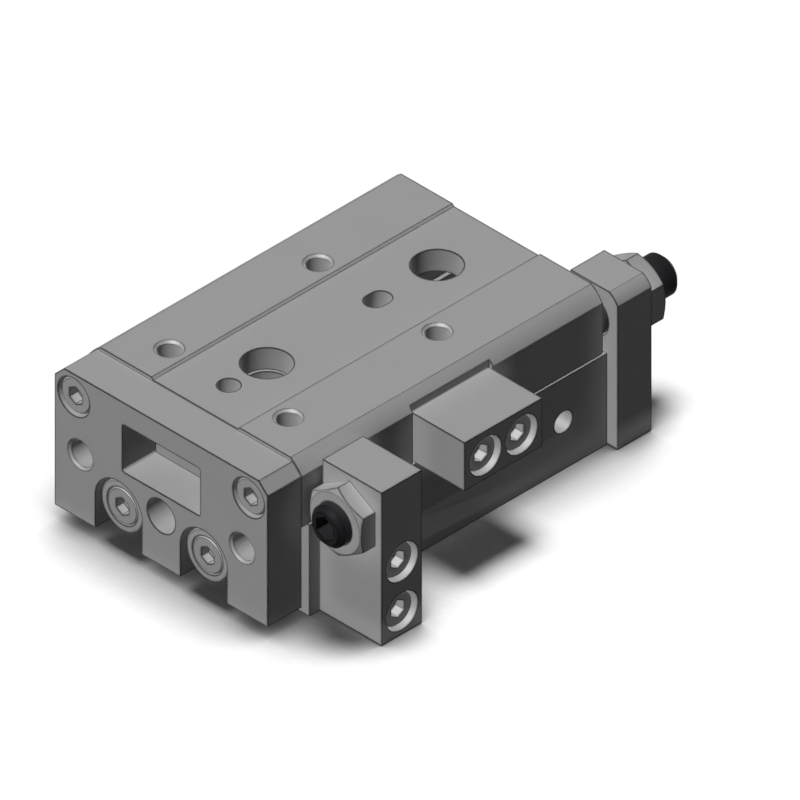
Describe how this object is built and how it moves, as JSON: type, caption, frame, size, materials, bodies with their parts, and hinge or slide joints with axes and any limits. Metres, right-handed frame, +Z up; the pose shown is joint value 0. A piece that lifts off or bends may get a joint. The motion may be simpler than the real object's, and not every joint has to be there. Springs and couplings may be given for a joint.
{
  "type": "pneumatic slide table",
  "caption": "Low flat twin-rod air slide table: aluminium body, crossed-roller guided table, slotted end plate, side stopper and screw stroke adjusters.",
  "frame": {"origin": "midway between the body's two mounting holes, on its bottom face", "axes": "+X to the right of someone who faces the end plate, +Y from the end plate to the rear, +Z up through the table top"},
  "size_m": [0.0646, 0.0969, 0.032],
  "materials": {
    "anodised_aluminium": "hard anodised, fine matt grey",
    "blackened_steel": "black oxide",
    "plated_steel": "electroless nickel over milled steel",
    "screw_steel": "plated, satin",
    "hardened_steel": "ground",
    "hard_chromed_rod": "hard chromed and polished",
    "stainless_steel": "turned",
    "spring_steel": "phosphated",
    "cage_resin": "moulded acetal",
    "cover_alloy": "turned",
    "seal_rubber": "nitrile rubber",
    "bumper_urethane": "urethane",
    "ferrite_magnet": "bonded ferrite"
  },
  "bodies": {
    "slide_body": {"body": "anodised_aluminium", "guide_block": "anodised_aluminium", "guide_block_screws": "screw_steel", "cage_stop_screws": "screw_steel", "guide_rail_left": "hardened_steel", "guide_rail_right": "hardened_steel", "rod_seals": "seal_rubber", "rod_cover_o_rings": "seal_rubber", "rod_cover_rings": "spring_steel", "rod_cover_left": "cover_alloy", "rod_cover_right": "cover_alloy", "head_cover_o_rings": "seal_rubber", "head_cover_rings": "spring_steel", "head_cover_left": "cover_alloy", "head_cover_right": "cover_alloy", "front_adjuster_holder": "plated_steel", "front_holder_screws": "screw_steel", "front_lock_nut": "plated_steel", "rear_adjuster_holder": "plated_steel", "rear_holder_screws": "screw_steel", "rear_lock_nut": "plated_steel"},
    "slide_table": {"table": "anodised_aluminium", "table_rail_left": "hardened_steel", "table_rail_right": "hardened_steel", "end_plate": "anodised_aluminium", "end_plate_screws": "screw_steel", "stopper_block": "plated_steel", "stopper_block_screws": "screw_steel", "rod_end_collars": "stainless_steel", "rod_end_screws": "screw_steel", "thrust_washers": "stainless_steel", "piston_rod_left": "hard_chromed_rod", "piston_rod_right": "hard_chromed_rod", "piston_left": "cover_alloy", "piston_right": "cover_alloy", "piston_seals": "seal_rubber", "piston_magnets": "ferrite_magnet", "rod_bumpers": "bumper_urethane", "head_bumpers": "bumper_urethane"},
    "left_cage": {"roller_cage_left": "cage_resin", "rollers_left": "hardened_steel"},
    "right_cage": {"roller_cage_right": "cage_resin", "rollers_right": "hardened_steel"},
    "front_adjuster_travel": {"front_bumper": "bumper_urethane"},
    "front_adjuster": {"front_adjuster_screw": "blackened_steel"},
    "rear_adjuster_travel": {"rear_bumper": "bumper_urethane"},
    "rear_adjuster": {"rear_adjuster_screw": "blackened_steel"}
  },
  "joints": [
    {"name": "table_slide", "type": "slide", "parent": "slide_body", "child": "slide_table", "axis": [0, -1, 0], "range_m": [0, 0.01]},
    {"name": "left_cage_slide", "type": "slide", "parent": "slide_body", "child": "left_cage", "axis": [0, -1, 0], "range_m": [0, 0.005]},
    {"name": "right_cage_slide", "type": "slide", "parent": "slide_body", "child": "right_cage", "axis": [0, -1, 0], "range_m": [0, 0.005]},
    {"name": "front_adjuster_slide", "type": "slide", "parent": "slide_body", "child": "front_adjuster_travel", "axis": [0, -1, 0], "range_m": [0, 0.004]},
    {"name": "front_adjuster_turn", "type": "hinge", "parent": "front_adjuster_travel", "child": "front_adjuster", "pos_m": [0.0322, -0.023, 0.0232], "axis": [0, -1, 0], "range_deg": [0, 1440]},
    {"name": "rear_adjuster_slide", "type": "slide", "parent": "slide_body", "child": "rear_adjuster_travel", "axis": [0, 1, 0], "range_m": [0, 0.004]},
    {"name": "rear_adjuster_turn", "type": "hinge", "parent": "rear_adjuster_travel", "child": "rear_adjuster", "pos_m": [0.02135, 0.0365, 0.0248], "axis": [0, 1, 0], "range_deg": [0, 1440]}
  ],
  "couplings": [
    {"joint": "left_cage_slide", "follows": "table_slide", "ratio": 0.5},
    {"joint": "right_cage_slide", "follows": "table_slide", "ratio": 0.5},
    {"joint": "front_adjuster_turn", "follows": "front_adjuster_slide", "rad_per_m": 6283.2},
    {"joint": "rear_adjuster_turn", "follows": "rear_adjuster_slide", "rad_per_m": 6283.2}
  ]
}
